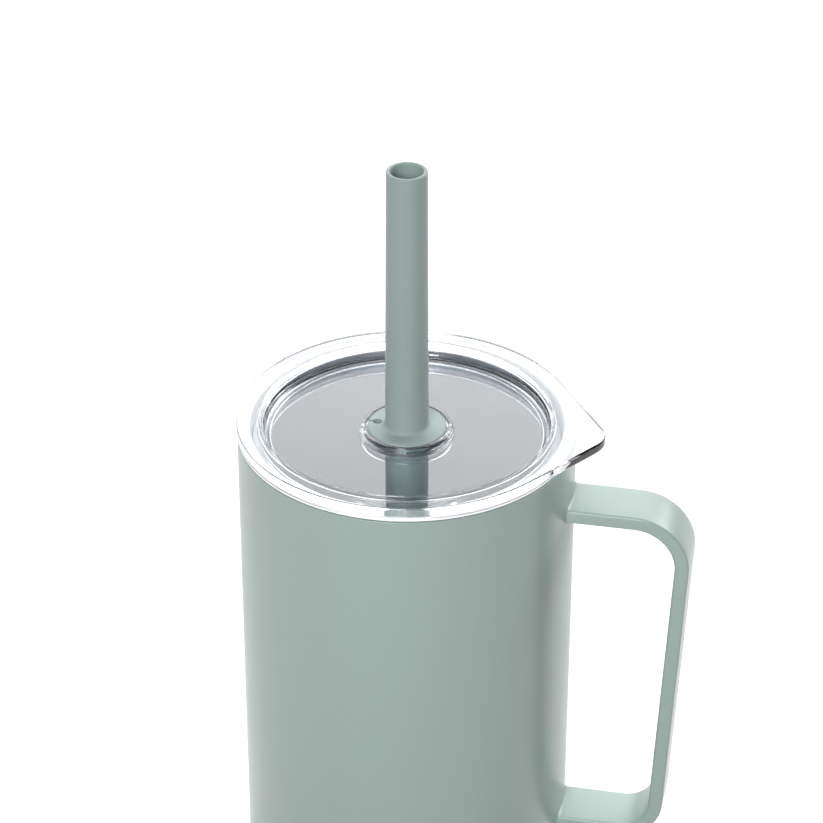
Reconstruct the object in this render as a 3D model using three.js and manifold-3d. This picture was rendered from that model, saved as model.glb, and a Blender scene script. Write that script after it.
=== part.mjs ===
// Insulated tumbler with a side handle, a clear press-on lid and a soft straw.
// Millimetres, +Z up. The origin is the centre of the foot pad's underside, on the cup's axis.
// The handle and the lid's pull tab point along +X.

import * as THREE from 'three';
import { mergeVertices } from 'three/addons/utils/BufferGeometryUtils.js';
import Module from 'manifold-3d';

const wasm = await Module();
wasm.setup();

// ---- clearances ---------------------------------------------------------------------------

const FIT_GAP = 0.3; // between pieces that touch or seat on each other
const ROUND_SEGMENTS = 48; // facets round the cup, liner and lid
const STRAW_SEGMENTS = 24; // facets round the straw and its bores

// ---- cup ----------------------------------------------------------------------------------

const CUP_RADIUS = 45;
const RIM_HEIGHT = 147.1; // top of the steel rim
const SHELL_WALL = 0.8;
const LINER_WALL = 0.8;
const VACUUM_GAP = 2.0; // between the two walls
const RIM_LIP_HEIGHT = 1;
const RIM_LIP_ROUND = 0.45;
const SHELL_FOOT_ROUND = 5; // outer bottom corner of the shell
const SHELL_FOOT_FLANGE = 1.6; // flat ring inside the bottom corner
const LINER_FLOOR_ROUND = 9; // outer bottom corner of the liner
const PAD_PROUD = 1.2; // how far the foot pad stands below the steel
const PAD_EDGE_GAP = 0.9; // foot pad inside the base plate's rim
const PAD_THICKNESS = 2.1;
const PAD_EDGE_ROUND = 0.6;
const PLATE_THICKNESS = 0.8;
const PLATE_RIM_WIDTH = 1.8; // flat rim of the base plate outside the pad's recess
const DIMPLE_RADIUS = 5.2; // evacuation dimple at the base plate's centre
const DIMPLE_DEPTH = 1.2;
const EVACUATION_HOLE_RADIUS = 1.5;
const BASE_VACUUM_GAP = 4.3; // from the base plate up to the liner's floor

// ---- pieces in the vacuum -----------------------------------------------------------------

const FOIL_WALL = 0.4;
const FOIL_RIM_SETBACK = 12; // foil ends this far below the rim
const GETTER_RADIUS = 4;
const GETTER_THICKNESS = 1.5;
const GETTER_OFFSET = 18; // from the cup's axis
const CLIP_WALL = 0.5;
const CLIP_LIP = 0.3; // how far the clip stands above the getter
const SEAL_THICKNESS = 0.8;

// ---- handle -------------------------------------------------------------------------------

const STRAP_WIDTH = 14.8;
const STRAP_THICKNESS = 3.9;
const STRAP_EDGE_ROUND = 0.9;
const HANDLE_TOP_DROP = 16.76; // from the rim down to the strap's upper face
const HANDLE_FOOT_RISE = 23.74; // from the surface it stands on up to the strap's lower face
const HANDLE_OPENING_DEPTH = 30.1; // at the top of the opening
const GRIP_LEAN = Math.atan(0.048); // the grip comes in towards the cup as it goes down
const TOP_BEND_RADIUS = 15.2; // outside of the upper bend
const BOTTOM_BEND_RADIUS = 12.6; // outside of the lower bend
const WELD_LEG = 1.1;

// ---- lid ----------------------------------------------------------------------------------

const FLANGE_OVERHANG = 0.2; // lid flange beyond the cup's wall
const FLANGE_THICKNESS = 2.7;
const FLANGE_EDGE_ROUND = 0.5;
const TAB_LENGTH = 7.8; // how far the pull tab stands out past the flange
const TAB_CORNER_RADIUS = 8;
const RECESS_INSET = 0.5; // edge of the dish inside the skirt's outer face
const RECESS_DRAFT = 1.2; // the recess wall comes in by this much
const RECESS_DEPTH = 4.4;
const RECESS_FILLET = 2;
const FLOOR_THICKNESS = 2;
const SKIRT_WALL = 2.2;
const SKIRT_GAP = 2.2; // between the skirt and the liner
const SKIRT_DEPTH = 10.5; // below the lid's top face
const GROOVE_DEPTH = 1.2;
const GROOVE_HEIGHT = 2.7;
const GROOVE_LIFT = 0.9; // groove above the skirt's lower edge
const COLLAR_WALL = 1.3;
const COLLAR_TOP_DROP = 2.9; // below the lid's top face
const COLLAR_FOOT_DROP = 9.1; // below the lid's top face
const LEDGE_THICKNESS = 2;

// ---- straw --------------------------------------------------------------------------------

const STRAW_RISE = 72.54; // above the lid's top face
const STRAW_TOP_RADIUS = 5.35;
const STRAW_BASE_RADIUS = 5.83;
const STRAW_BORE_RADIUS = 4.25;
const STRAW_FLOOR_GAP = 5; // from the cup's floor to the straw's lower end
const STRAW_FILLET = 1.2; // between tube and flange
const STRAW_FLANGE_RADIUS = 10.6;
const STRAW_FLANGE_THICKNESS = 1.6;
const STRAW_FLANGE_DROP = 2.8; // flange top below the lid's top face
const STRAW_RUNNING_GAP = 0.35; // straw in the collar's bore
const VENT_SETBACK = 2.1; // vent hole's centre outside the tube, on the side away from the handle
const VENT_HOLE_RADIUS = 1.25;
const VENT_SLIT_WIDTH = 0.7;

// ---- places worked out from the sizes above -------------------------------------------------

const SHELL_INNER_RADIUS = CUP_RADIUS - SHELL_WALL;
const LINER_OUTER_RADIUS = SHELL_INNER_RADIUS - VACUUM_GAP;
const LINER_INNER_RADIUS = LINER_OUTER_RADIUS - LINER_WALL;
const SHELL_TOP = RIM_HEIGHT - RIM_LIP_HEIGHT - FIT_GAP;
const FOOT_FLANGE_RADIUS = CUP_RADIUS - SHELL_FOOT_ROUND - SHELL_FOOT_FLANGE;
const PLATE_RADIUS = FOOT_FLANGE_RADIUS - FIT_GAP;
const PLATE_RECESS_RADIUS = PLATE_RADIUS - PLATE_RIM_WIDTH;
const PAD_RADIUS = PLATE_RECESS_RADIUS - PAD_EDGE_GAP;
const PLATE_UNDERSIDE = PAD_THICKNESS + FIT_GAP;
const PLATE_TOP = PLATE_UNDERSIDE + PLATE_THICKNESS;
const LINER_UNDERSIDE = PLATE_TOP + BASE_VACUUM_GAP;
const CUP_FLOOR = LINER_UNDERSIDE + LINER_WALL;
const LID_SEAT = RIM_HEIGHT + FIT_GAP;
const LID_TOP = LID_SEAT + FLANGE_THICKNESS;
const SKIRT_OUTER_RADIUS = LINER_INNER_RADIUS - SKIRT_GAP;
const RECESS_RADIUS = SKIRT_OUTER_RADIUS - RECESS_INSET;
const TAB_REACH = CUP_RADIUS + FLANGE_OVERHANG + TAB_LENGTH;
const VENT_OFFSET = STRAW_BASE_RADIUS + VENT_SETBACK;
const COUNTERBORE_RADIUS = STRAW_FLANGE_RADIUS + FIT_GAP;
const COLLAR_RADIUS = COUNTERBORE_RADIUS + COLLAR_WALL;
const COLLAR_BORE_RADIUS = STRAW_BASE_RADIUS + STRAW_RUNNING_GAP;
const STRAW_FLANGE_TOP = LID_TOP - STRAW_FLANGE_DROP;
const STRAW_FLANGE_UNDERSIDE = STRAW_FLANGE_TOP - STRAW_FLANGE_THICKNESS;
const LEDGE_TOP = STRAW_FLANGE_UNDERSIDE - FIT_GAP;
const HANDLE_TOP = RIM_HEIGHT - HANDLE_TOP_DROP;
const HANDLE_BOTTOM = HANDLE_FOOT_RISE;
const HANDLE_REACH = CUP_RADIUS + HANDLE_OPENING_DEPTH + STRAP_THICKNESS;

// ---- finishes -------------------------------------------------------------------------------

const FINISHES = {
  powderCoat: { color: 0x9fb5ae, roughness: 0.55, metalness: 0 },
  steel: { color: 0xc6c8ca, roughness: 0.3, metalness: 1 },
  foil: { color: 0xb87e5a, roughness: 0.35, metalness: 1 },
  getter: { color: 0x6e6f72, roughness: 0.8, metalness: 0.4 },
  seal: { color: 0x8f9496, roughness: 0.4, metalness: 0.6 },
  footPad: { color: 0x6f7f79, roughness: 0.8, metalness: 0 },
  clearPlastic: { color: 0xe6ebee, roughness: 0.05, metalness: 0 },
  clearSilicone: { color: 0xdadfe0, roughness: 0.4, metalness: 0 },
  strawSilicone: { color: 0x8fa59d, roughness: 0.6, metalness: 0 },
};

// ---- helpers --------------------------------------------------------------------------------

const point = (radius, height) => new THREE.Vector2(radius, height);

// Points on an arc in the radius-height plane; angles in degrees from the outward direction.
function arc(centreRadius, centreHeight, radius, fromDegrees, toDegrees, steps = 4) {
  const points = [];
  for (let i = 0; i <= steps; i += 1) {
    const angle = THREE.MathUtils.degToRad(fromDegrees + ((toDegrees - fromDegrees) * i) / steps);
    points.push(point(centreRadius + radius * Math.cos(angle), centreHeight + radius * Math.sin(angle)));
  }
  return points;
}

// Turns a profile round the Z axis. The profile runs with its solid on the left-hand side.
function revolve(profile, segments = ROUND_SEGMENTS) {
  const geometry = new THREE.LatheGeometry(profile, segments);
  geometry.rotateX(Math.PI / 2);
  return geometry;
}

// A ring: the profile is closed on itself.
function revolveRing(profile, segments = ROUND_SEGMENTS) {
  return revolve([...profile, profile[0].clone()], segments);
}

// Extrudes an outline drawn in X and Y upwards from the given height.
function slab(outline, bottom, height) {
  const geometry = new THREE.ExtrudeGeometry(outline, {
    depth: height,
    bevelEnabled: false,
    curveSegments: ROUND_SEGMENTS / 2,
  });
  geometry.translate(0, 0, bottom);
  return geometry;
}

function toSolid(geometry) {
  const bare = geometry.clone();
  bare.deleteAttribute('normal');
  bare.deleteAttribute('uv');
  const merged = mergeVertices(bare, 1e-4);
  const mesh = new wasm.Mesh({
    numProp: 3,
    vertProperties: new Float32Array(merged.attributes.position.array),
    triVerts: new Uint32Array(merged.index.array),
  });
  return new wasm.Manifold(mesh);
}

function toGeometry(solid) {
  const mesh = solid.getMesh();
  const geometry = new THREE.BufferGeometry();
  geometry.setAttribute('position', new THREE.BufferAttribute(mesh.vertProperties, 3));
  geometry.setIndex(new THREE.BufferAttribute(mesh.triVerts, 1));
  geometry.computeVertexNormals();
  return geometry;
}

// A plain round bar along Z, used as a cutter.
function bar(radius, bottom, top, segments = ROUND_SEGMENTS, x = 0) {
  const geometry = revolve([point(0, bottom), point(radius, bottom), point(radius, top), point(0, top)], segments);
  geometry.translate(x, 0, 0);
  return toSolid(geometry);
}

const group = new THREE.Group();

function addPiece(name, geometry, finish) {
  const mesh = new THREE.Mesh(geometry, new THREE.MeshStandardMaterial(finish));
  mesh.name = name;
  group.add(mesh);
}

// ---- cup ------------------------------------------------------------------------------------

// Drawn outer wall, turned in at the foot to carry the base plate.
function outerShell() {
  const cornerRadius = CUP_RADIUS - SHELL_FOOT_ROUND;
  const cornerHeight = PAD_PROUD + SHELL_FOOT_ROUND;
  return revolveRing([
    point(FOOT_FLANGE_RADIUS, PAD_PROUD),
    ...arc(cornerRadius, cornerHeight, SHELL_FOOT_ROUND, -90, 0),
    point(CUP_RADIUS, SHELL_TOP),
    point(SHELL_INNER_RADIUS, SHELL_TOP),
    ...arc(cornerRadius, cornerHeight, SHELL_FOOT_ROUND - SHELL_WALL, 0, -90),
    point(FOOT_FLANGE_RADIUS, PAD_PROUD + SHELL_WALL),
  ]);
}

// Deep-drawn cup whose mouth turns out over the top of the outer wall.
function innerLiner() {
  const cornerRadius = LINER_OUTER_RADIUS - LINER_FLOOR_ROUND;
  const cornerHeight = LINER_UNDERSIDE + LINER_FLOOR_ROUND;
  const lipUnderside = RIM_HEIGHT - RIM_LIP_HEIGHT;
  return revolve([
    point(0, LINER_UNDERSIDE),
    ...arc(cornerRadius, cornerHeight, LINER_FLOOR_ROUND, -90, 0, 5),
    point(LINER_OUTER_RADIUS, lipUnderside),
    point(CUP_RADIUS, lipUnderside),
    ...arc(CUP_RADIUS - RIM_LIP_ROUND, RIM_HEIGHT - RIM_LIP_ROUND, RIM_LIP_ROUND, 0, 90, 2),
    ...arc(LINER_INNER_RADIUS + RIM_LIP_ROUND, RIM_HEIGHT - RIM_LIP_ROUND, RIM_LIP_ROUND, 90, 180, 2),
    ...arc(cornerRadius, cornerHeight, LINER_FLOOR_ROUND - LINER_WALL, 0, -90, 5),
    point(0, CUP_FLOOR),
  ]);
}

// Thin metal wrap close round the liner, inside the vacuum.
function radiationFoil() {
  const inner = LINER_OUTER_RADIUS + FIT_GAP;
  const outer = inner + FOIL_WALL;
  const cornerRadius = LINER_OUTER_RADIUS - LINER_FLOOR_ROUND;
  const cornerHeight = LINER_UNDERSIDE + LINER_FLOOR_ROUND;
  const top = RIM_HEIGHT - FOIL_RIM_SETBACK;
  const innerRound = LINER_FLOOR_ROUND + FIT_GAP;
  return revolve([
    point(0, LINER_UNDERSIDE - FIT_GAP - FOIL_WALL),
    ...arc(cornerRadius, cornerHeight, innerRound + FOIL_WALL, -90, 0),
    point(outer, top),
    point(inner, top),
    ...arc(cornerRadius, cornerHeight, innerRound, 0, -90),
    point(0, LINER_UNDERSIDE - FIT_GAP),
  ]);
}

// Pressed disc that closes the foot: flat rim, recess for the pad, dimple with the pumping hole.
function basePlate() {
  const dimple = PLATE_UNDERSIDE + DIMPLE_DEPTH;
  const dimpleOuter = DIMPLE_RADIUS + PLATE_THICKNESS;
  return revolveRing([
    point(EVACUATION_HOLE_RADIUS, dimple),
    point(DIMPLE_RADIUS, dimple),
    point(DIMPLE_RADIUS, PLATE_UNDERSIDE),
    point(PLATE_RECESS_RADIUS, PLATE_UNDERSIDE),
    point(PLATE_RECESS_RADIUS, PAD_PROUD),
    point(PLATE_RADIUS, PAD_PROUD),
    point(PLATE_RADIUS, PLATE_TOP),
    point(dimpleOuter, PLATE_TOP),
    point(dimpleOuter, dimple + PLATE_THICKNESS),
    point(EVACUATION_HOLE_RADIUS, dimple + PLATE_THICKNESS),
  ]);
}

// Bead that closes the pumping hole from below, inside the dimple.
function vacuumSeal() {
  const top = PLATE_UNDERSIDE + DIMPLE_DEPTH - FIT_GAP;
  const radius = DIMPLE_RADIUS - FIT_GAP;
  const shoulder = SEAL_THICKNESS / 2;
  return revolve([
    point(0, top - SEAL_THICKNESS),
    point(radius - shoulder, top - SEAL_THICKNESS),
    point(radius, top - shoulder),
    point(radius, top),
    point(0, top),
  ], STRAW_SEGMENTS);
}

function footPad() {
  return revolve([
    point(0, 0),
    ...arc(PAD_RADIUS - PAD_EDGE_ROUND, PAD_EDGE_ROUND, PAD_EDGE_ROUND, -90, 0, 2),
    point(PAD_RADIUS, PAD_THICKNESS),
    point(0, PAD_THICKNESS),
  ]);
}

// Open clip welded to the base plate, holding the getter pill inside the vacuum.
function getterClip() {
  const floor = PLATE_TOP + FIT_GAP;
  const inner = GETTER_RADIUS + FIT_GAP;
  const top = floor + CLIP_WALL + FIT_GAP + GETTER_THICKNESS + CLIP_LIP;
  const geometry = revolve([
    point(0, floor),
    point(inner + CLIP_WALL, floor),
    point(inner + CLIP_WALL, top),
    point(inner, top),
    point(inner, floor + CLIP_WALL),
    point(0, floor + CLIP_WALL),
  ], STRAW_SEGMENTS);
  geometry.translate(GETTER_OFFSET, 0, 0);
  return geometry;
}

function getterPill() {
  const bottom = PLATE_TOP + FIT_GAP + CLIP_WALL + FIT_GAP;
  const geometry = revolve([
    point(0, bottom),
    point(GETTER_RADIUS, bottom),
    point(GETTER_RADIUS, bottom + GETTER_THICKNESS),
    point(0, bottom + GETTER_THICKNESS),
  ], STRAW_SEGMENTS);
  geometry.translate(GETTER_OFFSET, 0, 0);
  return geometry;
}

// ---- handle ---------------------------------------------------------------------------------

// Centre of a bend whose outside touches the grip's outer face, at the given height.
function bendCentre(radius, height) {
  const drop = height - HANDLE_TOP;
  return HANDLE_REACH + (drop * Math.sin(GRIP_LEAN) - radius) / Math.cos(GRIP_LEAN);
}

// Flat steel bar bent into a C, with softened edges and ends that follow the shell.
function handle() {
  const start = CUP_RADIUS - SHELL_WALL * 2;
  const topHeight = HANDLE_TOP - TOP_BEND_RADIUS;
  const bottomHeight = HANDLE_BOTTOM + BOTTOM_BEND_RADIUS;
  const topX = bendCentre(TOP_BEND_RADIUS, topHeight);
  const bottomX = bendCentre(BOTTOM_BEND_RADIUS, bottomHeight);
  const grip = -GRIP_LEAN;
  const outline = new THREE.Shape();
  outline.moveTo(start, HANDLE_TOP);
  outline.lineTo(topX, HANDLE_TOP);
  outline.absarc(topX, topHeight, TOP_BEND_RADIUS, Math.PI / 2, grip, true);
  outline.absarc(bottomX, bottomHeight, BOTTOM_BEND_RADIUS, grip, -Math.PI / 2, true);
  outline.lineTo(start, HANDLE_BOTTOM);
  outline.lineTo(start, HANDLE_BOTTOM + STRAP_THICKNESS);
  outline.absarc(bottomX, bottomHeight, BOTTOM_BEND_RADIUS - STRAP_THICKNESS, -Math.PI / 2, grip, false);
  outline.absarc(topX, topHeight, TOP_BEND_RADIUS - STRAP_THICKNESS, grip, Math.PI / 2, false);
  outline.lineTo(start, HANDLE_TOP - STRAP_THICKNESS);
  const geometry = new THREE.ExtrudeGeometry(outline, {
    depth: STRAP_WIDTH - 2 * STRAP_EDGE_ROUND,
    curveSegments: 8,
    bevelThickness: STRAP_EDGE_ROUND,
    bevelSize: STRAP_EDGE_ROUND,
    bevelOffset: -STRAP_EDGE_ROUND,
    bevelSegments: 2,
  });
  geometry.rotateX(Math.PI / 2);
  geometry.translate(0, STRAP_WIDTH / 2 - STRAP_EDGE_ROUND, 0);
  return toGeometry(toSolid(geometry).subtract(bar(CUP_RADIUS + FIT_GAP, 0, RIM_HEIGHT)));
}

// Weld bead round one end of the handle, lying on the shell.
function handleWeld(strapTop) {
  const halfWidth = STRAP_WIDTH / 2 + FIT_GAP;
  const low = strapTop - STRAP_THICKNESS - FIT_GAP;
  const high = strapTop + FIT_GAP;
  const reach = halfWidth + WELD_LEG;
  const chamfer = WELD_LEG / 2;
  const frame = new THREE.Shape();
  frame.moveTo(-reach, low - chamfer);
  frame.lineTo(-reach + chamfer, low - WELD_LEG);
  frame.lineTo(reach - chamfer, low - WELD_LEG);
  frame.lineTo(reach, low - chamfer);
  frame.lineTo(reach, high + chamfer);
  frame.lineTo(reach - chamfer, high + WELD_LEG);
  frame.lineTo(-reach + chamfer, high + WELD_LEG);
  frame.lineTo(-reach, high + chamfer);
  const opening = new THREE.Path();
  opening.moveTo(-halfWidth, low);
  opening.lineTo(-halfWidth, high);
  opening.lineTo(halfWidth, high);
  opening.lineTo(halfWidth, low);
  frame.holes.push(opening);
  const start = CUP_RADIUS - SHELL_WALL * 2;
  const geometry = new THREE.ExtrudeGeometry(frame, {
    depth: CUP_RADIUS + FIT_GAP + WELD_LEG - start,
    bevelEnabled: false,
  });
  geometry.rotateX(Math.PI / 2);
  geometry.rotateZ(Math.PI / 2);
  geometry.translate(start, 0, 0);
  return toGeometry(toSolid(geometry).subtract(bar(CUP_RADIUS + FIT_GAP, 0, RIM_HEIGHT)));
}

// ---- lid ------------------------------------------------------------------------------------

// Round flange drawn out to the tab: two arcs and their common tangents, with a hole.
function flangeOutline(inset, holeRadius) {
  const radius = CUP_RADIUS + FLANGE_OVERHANG - inset;
  const corner = TAB_CORNER_RADIUS - inset;
  const cornerX = TAB_REACH - TAB_CORNER_RADIUS;
  const tangent = Math.acos((radius - corner) / cornerX);
  const outline = new THREE.Shape();
  outline.absarc(0, 0, radius, tangent, 2 * Math.PI - tangent, false);
  outline.absarc(cornerX, 0, corner, -tangent, tangent, false);
  const hole = new THREE.Path();
  hole.absarc(0, 0, holeRadius, 0, 2 * Math.PI, true);
  outline.holes.push(hole);
  return outline;
}

// The flange plate, with its edge stepped back a little at both faces.
function flangePlate(holeRadius) {
  const full = toSolid(slab(
    flangeOutline(0, holeRadius),
    LID_SEAT + FLANGE_EDGE_ROUND,
    FLANGE_THICKNESS - 2 * FLANGE_EDGE_ROUND,
  ));
  const stepped = toSolid(slab(flangeOutline(FLANGE_EDGE_ROUND, holeRadius), LID_SEAT, FLANGE_THICKNESS));
  return full.add(stepped);
}

// Dish, plug skirt with its gasket groove, and the collar that the straw sits in.
function lidPlug(outerRadius) {
  const floorTop = LID_TOP - RECESS_DEPTH;
  const floorUnderside = floorTop - FLOOR_THICKNESS;
  const recessFoot = RECESS_RADIUS - RECESS_DRAFT;
  const skirtInner = SKIRT_OUTER_RADIUS - SKIRT_WALL;
  const skirtFoot = LID_TOP - SKIRT_DEPTH;
  const grooveFoot = skirtFoot + GROOVE_LIFT;
  const grooveRadius = SKIRT_OUTER_RADIUS - GROOVE_DEPTH;
  const collarTop = LID_TOP - COLLAR_TOP_DROP;
  const collarFoot = LID_TOP - COLLAR_FOOT_DROP;
  return revolveRing([
    point(COLLAR_BORE_RADIUS, LEDGE_TOP - LEDGE_THICKNESS),
    point(COUNTERBORE_RADIUS, LEDGE_TOP - LEDGE_THICKNESS),
    point(COUNTERBORE_RADIUS, collarFoot),
    point(COLLAR_RADIUS, collarFoot),
    point(COLLAR_RADIUS, floorUnderside),
    point(skirtInner, floorUnderside),
    point(skirtInner, skirtFoot),
    point(SKIRT_OUTER_RADIUS, skirtFoot),
    point(SKIRT_OUTER_RADIUS, grooveFoot),
    point(grooveRadius, grooveFoot),
    point(grooveRadius, grooveFoot + GROOVE_HEIGHT),
    point(SKIRT_OUTER_RADIUS, grooveFoot + GROOVE_HEIGHT),
    point(SKIRT_OUTER_RADIUS, LID_SEAT),
    point(outerRadius, LID_SEAT),
    point(outerRadius, LID_TOP),
    point(RECESS_RADIUS, LID_TOP),
    ...arc(recessFoot - RECESS_FILLET, floorTop + RECESS_FILLET, RECESS_FILLET, 0, -90, 3),
    point(COLLAR_RADIUS, floorTop),
    point(COLLAR_RADIUS, collarTop),
    point(COUNTERBORE_RADIUS, collarTop),
    point(COUNTERBORE_RADIUS, LEDGE_TOP),
    point(COLLAR_BORE_RADIUS, LEDGE_TOP),
  ]);
}

function lid() {
  const joinInner = (SKIRT_OUTER_RADIUS + RECESS_RADIUS) / 2;
  const joinOuter = (LINER_INNER_RADIUS + SKIRT_OUTER_RADIUS) / 2;
  const ventHole = bar(VENT_HOLE_RADIUS, LEDGE_TOP - 2 * LEDGE_THICKNESS, LEDGE_TOP + FIT_GAP, 12, -VENT_OFFSET);
  return toGeometry(flangePlate(joinInner).add(toSolid(lidPlug(joinOuter))).subtract(ventHole));
}

// Two-lipped silicone ring in the skirt's groove.
function lidGasket() {
  const inner = SKIRT_OUTER_RADIUS - GROOVE_DEPTH + FIT_GAP;
  const outer = LINER_INNER_RADIUS - FIT_GAP;
  const waist = SKIRT_OUTER_RADIUS + FIT_GAP;
  const bottom = LID_TOP - SKIRT_DEPTH + GROOVE_LIFT + FIT_GAP;
  const height = GROOVE_HEIGHT - 2 * FIT_GAP;
  return revolveRing([
    point(inner, bottom),
    point(waist, bottom),
    point(outer, bottom + height * 0.2),
    point(waist, bottom + height * 0.5),
    point(outer, bottom + height * 0.7),
    point(waist, bottom + height),
    point(inner, bottom + height),
  ]);
}

// ---- straw ----------------------------------------------------------------------------------

// One soft tube with a flange that drops into the collar, vented by a slit hole in the flange.
function straw() {
  const bottom = CUP_FLOOR + STRAW_FLOOR_GAP;
  const top = LID_TOP + STRAW_RISE;
  const lipRadius = (STRAW_TOP_RADIUS - STRAW_BORE_RADIUS) / 2;
  const lipCentre = STRAW_BORE_RADIUS + lipRadius;
  const body = toSolid(revolveRing([
    point(STRAW_BORE_RADIUS, bottom),
    point(STRAW_BASE_RADIUS, bottom),
    point(STRAW_BASE_RADIUS, STRAW_FLANGE_UNDERSIDE),
    point(STRAW_FLANGE_RADIUS, STRAW_FLANGE_UNDERSIDE),
    point(STRAW_FLANGE_RADIUS, STRAW_FLANGE_TOP),
    point(STRAW_BASE_RADIUS + STRAW_FILLET, STRAW_FLANGE_TOP),
    point(STRAW_BASE_RADIUS, STRAW_FLANGE_TOP + STRAW_FILLET),
    ...arc(lipCentre, top - lipRadius, lipRadius, 0, 180),
  ], STRAW_SEGMENTS));
  const cutBottom = STRAW_FLANGE_UNDERSIDE - FIT_GAP;
  const cutTop = STRAW_FLANGE_TOP + FIT_GAP;
  const hole = bar(VENT_HOLE_RADIUS, cutBottom, cutTop, 12, -VENT_OFFSET);
  const slitLength = STRAW_FLANGE_RADIUS + FIT_GAP - VENT_OFFSET;
  const slitBox = new THREE.BoxGeometry(slitLength, VENT_SLIT_WIDTH, cutTop - cutBottom);
  slitBox.translate(-VENT_OFFSET - slitLength / 2, 0, (cutTop + cutBottom) / 2);
  return toGeometry(body.subtract(hole).subtract(toSolid(slitBox)));
}

// ---- the assembly ---------------------------------------------------------------------------

addPiece('outer_shell', outerShell(), FINISHES.powderCoat);
addPiece('inner_liner', innerLiner(), FINISHES.steel);
addPiece('radiation_foil', radiationFoil(), FINISHES.foil);
addPiece('base_plate', basePlate(), FINISHES.steel);
addPiece('vacuum_seal', vacuumSeal(), FINISHES.seal);
addPiece('getter_clip', getterClip(), FINISHES.steel);
addPiece('getter_pill', getterPill(), FINISHES.getter);
addPiece('foot_pad', footPad(), FINISHES.footPad);
addPiece('handle', handle(), FINISHES.powderCoat);
addPiece('handle_weld_upper', handleWeld(HANDLE_TOP), FINISHES.powderCoat);
addPiece('handle_weld_lower', handleWeld(HANDLE_BOTTOM + STRAP_THICKNESS), FINISHES.powderCoat);
addPiece('lid', lid(), FINISHES.clearPlastic);
addPiece('lid_gasket', lidGasket(), FINISHES.clearSilicone);
addPiece('straw', straw(), FINISHES.strawSilicone);

export default group;
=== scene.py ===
"""Insulated tumbler with a side handle, a clear press-on lid and a soft straw.

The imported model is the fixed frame. This script lays a fine mesh over each of its pieces, gives
every finish its own procedural material, and sets up the floor, the light and the camera.
All lengths are metres.
"""

import logging
import math
from dataclasses import dataclass, field
from enum import Enum
from functools import cache
from typing import Iterable, Sequence

import bmesh
import bpy
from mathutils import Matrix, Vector


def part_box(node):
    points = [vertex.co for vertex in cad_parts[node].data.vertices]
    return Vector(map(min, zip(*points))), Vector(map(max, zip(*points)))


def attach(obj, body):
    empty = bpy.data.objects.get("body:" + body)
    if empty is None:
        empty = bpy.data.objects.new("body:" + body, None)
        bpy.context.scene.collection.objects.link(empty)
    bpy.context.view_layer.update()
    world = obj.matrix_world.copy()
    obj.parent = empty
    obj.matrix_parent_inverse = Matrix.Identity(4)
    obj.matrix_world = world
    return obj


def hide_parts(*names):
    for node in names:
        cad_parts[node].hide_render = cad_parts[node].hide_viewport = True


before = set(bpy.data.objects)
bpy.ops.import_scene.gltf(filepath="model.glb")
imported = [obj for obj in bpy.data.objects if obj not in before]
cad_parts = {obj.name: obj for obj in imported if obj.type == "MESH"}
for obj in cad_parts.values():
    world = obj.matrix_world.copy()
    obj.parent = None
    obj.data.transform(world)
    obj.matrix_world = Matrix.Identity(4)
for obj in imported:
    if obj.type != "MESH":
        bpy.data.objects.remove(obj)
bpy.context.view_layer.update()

LOG = logging.getLogger("tumbler")
MM = 0.001

ARC_STEPS = 8  # pieces in a quarter circle of a profile
RUN_MARGIN = 0.25 * MM  # how near the ends of a straight run its extra points lie
LONG_RUN = 6 * RUN_MARGIN  # shorter straight runs take no extra points
NEARLY_STRAIGHT = math.radians(89)  # half the angle of a corner too flat to round
SIDE_SHARE = 0.48  # the most of a side that one corner's round may use
FINE_TURN, PLAIN_TURN, SMALL_TURN = 256, 192, 96  # steps in one turn of a wall, a disc, a small piece
NUMBER, WHOLE_NUMBER = "NodeSocketFloat", "NodeSocketInt"
GEOMETRY, MATERIAL = "NodeSocketGeometry", "NodeSocketMaterial"
MIX_SHARE, MIX_FIRST, MIX_SECOND, MIX_RESULT = 0, 6, 7, 2  # sockets of a Mix node set to colours

Point = tuple[float, float]
Colour = tuple[float, float, float]
WHITE: Colour = (1.0, 1.0, 1.0)


class Body(Enum):
    """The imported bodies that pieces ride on."""

    CUP = "cup"
    GASKET = "gasket"
    LID = "lid"
    STRAW = "straw"


class Slot(Enum):
    """The record's material slots."""

    POWDER_COAT = "powder_coat"
    STEEL = "steel"
    FOIL = "foil"
    SEAL = "seal_metal"
    GETTER = "getter"
    FOOT = "foot_rubber"
    CLEAR_PLASTIC = "clear_plastic"
    CLEAR_SILICONE = "clear_silicone"
    STRAW = "straw_silicone"


# ---- profiles ----


@dataclass(frozen=True)
class Corner:
    """One corner of a profile in the radius-height plane, with the round that softens it."""

    radius: float
    height: float
    round: float = 0.0


def _corner_arc(before: Vector, corner: Vector, after: Vector, size: float) -> list[Vector]:
    """Points of the arc that rounds one corner.

    Args:
        before: The corner before this one.
        corner: The corner that is rounded.
        after: The corner after this one.
        size: The arc's radius, made smaller where the sides are too short for it.

    Returns:
        The arc's points in order, both ends included.
    """
    towards_before = before - corner
    towards_after = after - corner
    half_angle = towards_before.angle(towards_after) / 2
    if half_angle > NEARLY_STRAIGHT:
        return [corner]
    room = SIDE_SHARE * min(towards_before.length, towards_after.length)
    setback = min(size / math.tan(half_angle), room)
    size = setback * math.tan(half_angle)
    start = corner + towards_before.normalized() * setback
    end = corner + towards_after.normalized() * setback
    bisector = (towards_before.normalized() + towards_after.normalized()).normalized()
    centre = corner + bisector * (size / math.sin(half_angle))
    count = max(2, round(ARC_STEPS * (math.pi - 2 * half_angle) / (math.pi / 2)))
    first = start - centre
    turn = first.angle_signed(end - centre)
    points = []
    for k in range(count + 1):
        angle = -turn * k / count
        cosine, sine = math.cos(angle), math.sin(angle)
        points.append(centre + Vector((first.x * cosine - first.y * sine, first.x * sine + first.y * cosine)))
    return points


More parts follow.
